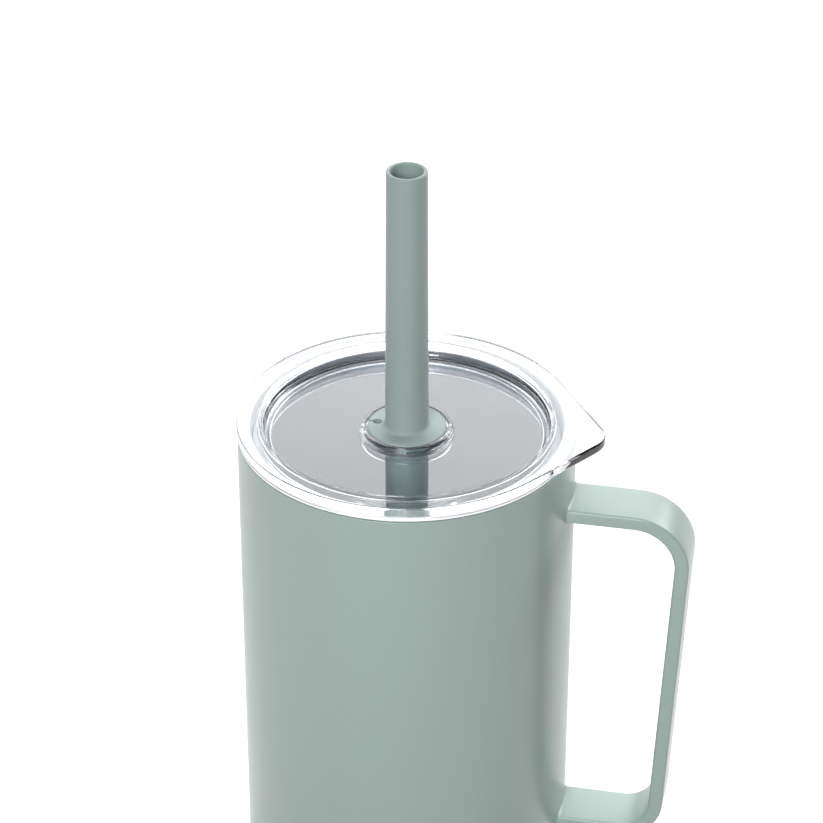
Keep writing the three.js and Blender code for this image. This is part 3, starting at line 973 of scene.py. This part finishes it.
@dataclass
class Lid:
    """The clear lid and its gasket."""

    sizes: LidSizes = field(default_factory=LidSizes)
    tab_angle: float = math.radians(36)
    tab_steps: int = 96
    round_steps: int = 168
    gasket_gap: float = 0.3 * MM
    gasket_edge: float = 0.2 * MM
    gasket_lip: float = 0.12 * MM
    gasket_waist: float = 0.15 * MM
    gasket_levels: tuple[float, float, float] = (0.2, 0.5, 0.7)

    def outline(self, angle: float, inset: float, edge: float, reach: float) -> float:
        """The flange's radius at an angle from the tab.

        Args:
            angle: The angle round the axis, 0 at the tab.
            inset: How far inside the flange's edge.
            edge: The round part's outer radius.
            reach: How far the tab's tip is from the axis.

        Returns:
            The distance from the axis.
        """
        big = edge - inset
        corner = self.sizes.tab_corner - inset
        centre = reach - self.sizes.tab_corner
        tangent = math.acos((big - corner) / centre)
        turn = abs(math.remainder(angle, 2 * math.pi))
        if turn >= tangent:
            return big
        arc_start = math.atan2(corner * math.sin(tangent), centre + corner * math.cos(tangent))
        if turn <= arc_start:
            return centre * math.cos(turn) + math.sqrt(corner**2 - (centre * math.sin(turn)) ** 2)
        return big / math.cos(turn - tangent)

    def corners(self) -> list[Corner]:
        """The lid's section away from the tab."""
        s = self.sizes
        low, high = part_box("lid")
        top, small = high.z, s.small_round
        seat = top - s.flange
        floor_top = top - s.recess_depth
        floor_under = floor_top - s.floor
        skirt_inner = s.skirt_radius - s.skirt_wall
        groove = low.z + s.groove_lift
        groove_floor = s.skirt_radius - s.groove_depth
        collar = s.collar_seat + s.collar_wall
        ledge_top = top - s.seat_drop
        return [
            Corner(s.collar_bore, ledge_top - s.ledge, small),
            Corner(s.collar_seat, ledge_top - s.ledge, small),
            Corner(s.collar_seat, top - s.collar_foot, small),
            Corner(collar, top - s.collar_foot, small),
            Corner(collar, floor_under, small),
            Corner(skirt_inner, floor_under, s.root_round),
            Corner(skirt_inner, low.z, s.edge_round),
            Corner(s.skirt_radius, low.z, s.soft_edge),
            Corner(s.skirt_radius, groove, s.groove_edge),
            Corner(groove_floor, groove, s.groove_root),
            Corner(groove_floor, groove + s.groove_height, s.groove_root),
            Corner(s.skirt_radius, groove + s.groove_height, s.groove_edge),
            Corner(s.skirt_radius, seat, s.soft_edge),
            Corner(high.y, seat, s.edge_round),
            Corner(high.y, top, s.edge_round),
            Corner(s.recess_radius, top, s.soft_edge),
            Corner(s.recess_radius - s.recess_draft, floor_top, s.recess_fillet),
            Corner(collar, floor_top, s.soft_edge),
            Corner(collar, top - s.collar_drop, s.soft_edge),
            Corner(s.collar_seat, top - s.collar_drop, s.collar_edge),
            Corner(s.collar_seat, ledge_top, s.ledge_root),
            Corner(s.collar_bore, ledge_top, small),
        ]

    def body(self) -> Placed:
        """The lid moulding: its section turned round the axis, its flange drawn out to the tab."""
        s = self.sizes
        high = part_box("lid")[1]
        edge, tip = high.y, high.x
        points = profile(self.corners(), ring=True)
        rim = edge - s.rim_band
        still = s.recess_radius + s.still_band
        tab, fine, coarse = self.tab_angle, self.tab_steps, self.round_steps
        angles = [-tab + 2 * tab * k / fine for k in range(fine)]
        angles += [tab + (2 * math.pi - 2 * tab) * k / coarse for k in range(coarse)]
        rows = []
        for angle in angles:
            row = []
            reach = self.outline(angle, s.rim_band, edge, tip)
            for radius, height in points:
                if radius >= rim:
                    radius = self.outline(angle, edge - radius, edge, tip)
                elif radius > still:
                    radius = still + (radius - still) / (rim - still) * (reach - still)
                row.append(Vector((radius * math.cos(angle), radius * math.sin(angle), height)))
            rows.append(row)
        return Placed(lattice("lid_clear", rows, True), Body.LID, Slot.CLEAR_PLASTIC, ("lid",))

    def gasket(self) -> Placed:
        """The two-lipped ring in the skirt's groove."""
        s = self.sizes
        low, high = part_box("lid_gasket")
        inner = s.skirt_radius - s.groove_depth + self.gasket_gap
        waist = s.skirt_radius + self.gasket_gap
        edge, lip = self.gasket_edge, self.gasket_lip
        lower, middle, upper = (low.z + share * (high.z - low.z) for share in self.gasket_levels)
        corners = (
            Corner(inner, low.z, edge),
            Corner(waist, low.z, edge),
            Corner(high.y, lower, lip),
            Corner(waist, middle, self.gasket_waist),
            Corner(high.y, upper, lip),
            Corner(waist, high.z, edge),
            Corner(inner, high.z, edge),
        )
        gasket = spun("gasket_ring", corners, True, FINE_TURN)
        return Placed(gasket, Body.GASKET, Slot.CLEAR_SILICONE, ("lid_gasket",))

    def build(self) -> list[Placed]:
        """Makes the lid and its gasket."""
        return [self.body(), self.gasket()]


@dataclass
class Straw:
    """The one-piece silicone straw with its flange and vent."""

    top_radius: float = 5.35 * MM
    base_radius: float = 5.83 * MM
    bore: float = 4.25 * MM
    lip_round: float = 0.5 * MM
    flange_thickness: float = 1.6 * MM
    flange_drop: float = 2.8 * MM
    root_round: float = 1.3 * MM
    vent_offset: float = 7.93 * MM
    vent_radius: float = 1.25 * MM
    slit_width: float = 0.7 * MM
    inner_edge: float = 0.3 * MM
    outer_edge: float = 0.4 * MM
    flange_edge: float = 0.55 * MM
    steps: int = 128
    vent_steps: int = 48

    def vent_cutters(self, flange: float, bottom: float, top: float) -> list[bpy.types.Object]:
        """The round hole and the slit that open the flange on the side away from the handle."""
        points = [(0.0, bottom), (self.vent_radius, bottom), (self.vent_radius, top), (0.0, top)]
        hole = turned("vent_hole", points, False, self.vent_steps, -self.vent_offset)
        half = self.slit_width / 2
        mesh = bmesh.new()
        ends = (-flange - MM, -self.vent_offset)
        spots = [mesh.verts.new((x, y, z)) for x in ends for y in (-half, half) for z in (bottom, top)]
        for loop in ((0, 1, 3, 2), (4, 6, 7, 5), (0, 4, 5, 1), (2, 3, 7, 6), (0, 2, 6, 4), (1, 5, 7, 3)):
            mesh.faces.new([spots[k] for k in loop])
        bmesh.ops.recalc_face_normals(mesh, faces=mesh.faces)
        data = bpy.data.meshes.new("vent_slit")
        mesh.to_mesh(data)
        mesh.free()
        return [hole, linked("vent_slit", data)]

    def build(self) -> list[Placed]:
        """Makes the straw."""
        low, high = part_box("straw")
        flange = high.y
        flange_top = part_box("lid")[1].z - self.flange_drop
        flange_under = flange_top - self.flange_thickness
        corners = (
            Corner(self.bore, low.z, self.inner_edge),
            Corner(self.base_radius, low.z, self.outer_edge),
            Corner(self.base_radius, flange_under, self.inner_edge),
            Corner(flange, flange_under, self.outer_edge),
            Corner(flange, flange_top, self.flange_edge),
            Corner(self.base_radius, flange_top, self.root_round),
            Corner(self.top_radius, high.z, self.lip_round),
            Corner(self.bore, high.z, self.lip_round),
        )
        straw = spun("straw_soft", corners, True, self.steps)
        cut(straw, self.vent_cutters(flange, flange_under - MM, flange_top + MM))
        return [Placed(straw, Body.STRAW, Slot.STRAW, ("straw",))]


# ---- studio ----


@dataclass
class Studio:
    """The floor, the light and the camera."""

    azimuth: float = math.radians(11.5)
    distance: float = 702.6 * MM
    height: float = 433.1 * MM
    pitch: float = math.radians(31.58)
    lens: float = 136.5
    shift: float = 0.0056
    front_light: float = 0.12
    back_light: float = 0.8
    floor_glow: float = 0.3
    floor_return: float = 0.25
    panel_light: float = 2.25
    panel_rise: float = math.radians(44)
    room_edge: Point = (0.0, 0.5)
    panel_edge: Point = (0.78, 0.95)
    key_power: float = 20.0
    rim_power: float = 9.0
    lamp_distance: float = 1.6
    lamp_size: float = 0.6
    lamp_target: float = 0.1
    floor_half: float = 6.0
    floor_tones: Point = (0.93, 0.97)

    def camera(self) -> None:
        """The camera, set out from the middle of the lid's top face."""
        lid_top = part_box("lid")[1].z
        data = bpy.data.cameras.new("camera")
        data.lens = self.lens
        data.sensor_width = 36.0
        data.shift_x = self.shift
        data.clip_start = 0.01
        camera = bpy.data.objects.new("camera", data)
        camera.location = (
            self.distance * math.sin(self.azimuth),
            -self.distance * math.cos(self.azimuth),
            lid_top + self.height,
        )
        camera.rotation_euler = (math.pi / 2 - self.pitch, 0.0, self.azimuth)
        bpy.context.scene.collection.objects.link(camera)
        bpy.context.scene.camera = camera

    def floor(self) -> None:
        """A wide pale floor with a faint mottle and a glow.

        It throws back little light onto the cup: rays that light the cup see it darker, without its
        glow. The camera and mirror-like faces see it pale.
        """
        material, tree, shader = new_material("pale_floor")
        grain = tree.add("ShaderNodeGroup", node_tree=grain_group(), Cloud_Scale=3.0)
        pale = tree.blend(grain.outputs["Cloud"], *(shaded(WHITE, tone) for tone in self.floor_tones))
        lighting = tree.add("ShaderNodeLightPath").outputs["Is Diffuse Ray"]
        tree.fill(
            shader,
            Base_Color=tree.blend(lighting, pale, shaded(WHITE, self.floor_return)),
            Roughness=0.9,
            Specular_IOR_Level=0.1,
            Emission_Strength=self.floor_glow,
            Emission_Color=tree.blend(lighting, shaded(WHITE, 1.0), shaded(WHITE, 0.0)),
        )
        mesh = bpy.data.meshes.new("floor")
        half = self.floor_half
        corners = [(-half, -half, 0), (half, -half, 0), (half, half, 0), (-half, half, 0)]
        mesh.from_pydata(corners, [], [(0, 1, 2, 3)])
        mesh.materials.append(material)
        floor = linked("floor", mesh)

    def glow(self, tree: Tree, towards: Vector, edge: Point, strength: Point) -> bpy.types.NodeSocket:
        """A soft-edged patch of light on the world.

        Args:
            tree: The world's tree.
            towards: The direction of the patch's middle.
            edge: Cosines of the angles from the middle where the patch's edge starts and ends.
            strength: The light outside the patch and inside it.

        Returns:
            The light's strength in each direction.
        """
        place = tree.add("ShaderNodeTexCoord").outputs["Generated"]
        along = tree.add("ShaderNodeVectorMath", operation="DOT_PRODUCT", Vector=place)
        tree.put(towards, along.inputs[1])
        limits = dict(zip(("From_Min", "From_Max", "To_Min", "To_Max"), (*edge, *strength)))
        share = tree.add("ShaderNodeMapRange", interpolation_type="SMOOTHSTEP", **limits)
        return tree.fill(share, Value=along.outputs["Value"]).outputs[0]

    def world(self) -> None:
        """A pale room: white behind the object, dimmer in front, with a bright panel high at the back."""
        world = bpy.data.worlds.new("pale_room")
        bpy.context.scene.world = world
        world.use_nodes = True
        world.node_tree.nodes.clear()
        tree = Tree(world.node_tree)
        back = Vector((-math.sin(self.azimuth), math.cos(self.azimuth), 0.0))
        panel = back * math.cos(self.panel_rise) + Vector((0.0, 0.0, math.sin(self.panel_rise)))
        room = self.glow(tree, back, self.room_edge, (self.front_light, self.back_light))
        extra = self.glow(tree, panel, self.panel_edge, (0.0, self.panel_light))
        total = tree.math("ADD", room, extra)
        light = tree.add("ShaderNodeBackground", Color=shaded(WHITE, 1.0), Strength=total)
        tree.add("ShaderNodeOutputWorld", Surface=light)

    def soft_light(self, name: str, turn: float, rise: float, power: float) -> None:
        """Adds one large square light that faces the middle of the cup.

        Args:
            name: The light's name.
            turn: Its angle in degrees from the camera's side, positive to the right.
            rise: Its angle in degrees above the floor.
            power: Its power in watts.
        """
        data = bpy.data.lights.new(name, "AREA")
        data.shape = "SQUARE"
        data.size = self.lamp_size
        data.energy = power
        light = bpy.data.objects.new(name, data)
        around = self.azimuth + math.radians(turn)
        level = math.cos(math.radians(rise))
        away = Vector((math.sin(around) * level, -math.cos(around) * level, math.sin(math.radians(rise))))
        light.location = Vector((0.0, 0.0, self.lamp_target)) + away * self.lamp_distance
        light.rotation_mode = "QUATERNION"
        light.rotation_quaternion = away.to_track_quat("Z", "Y")
        bpy.context.scene.collection.objects.link(light)

    def build(self) -> None:
        """Sets up the whole studio."""
        scene = bpy.context.scene
        scene.view_settings.view_transform = "Standard"
        scene.cycles.max_bounces = 24
        scene.cycles.transmission_bounces = 24
        scene.cycles.glossy_bounces = 10
        self.camera()
        self.floor()
        self.world()
        self.soft_light("key", -14, 32, self.key_power)
        self.soft_light("rim", 128, 30, self.rim_power)


# ---- the whole scene ----


def main() -> None:
    """Builds the studio and every sub-assembly in order."""
    logging.basicConfig(level=logging.INFO, format="%(name)s: %(message)s")
    Studio().build()
    placed = [item for assembly in (Cup(), Handle(), Lid(), Straw()) for item in assembly.build()]
    for item in placed:
        item.commit()
    LOG.info("%d pieces placed", len(placed))


if __name__ == "__main__":
    main()
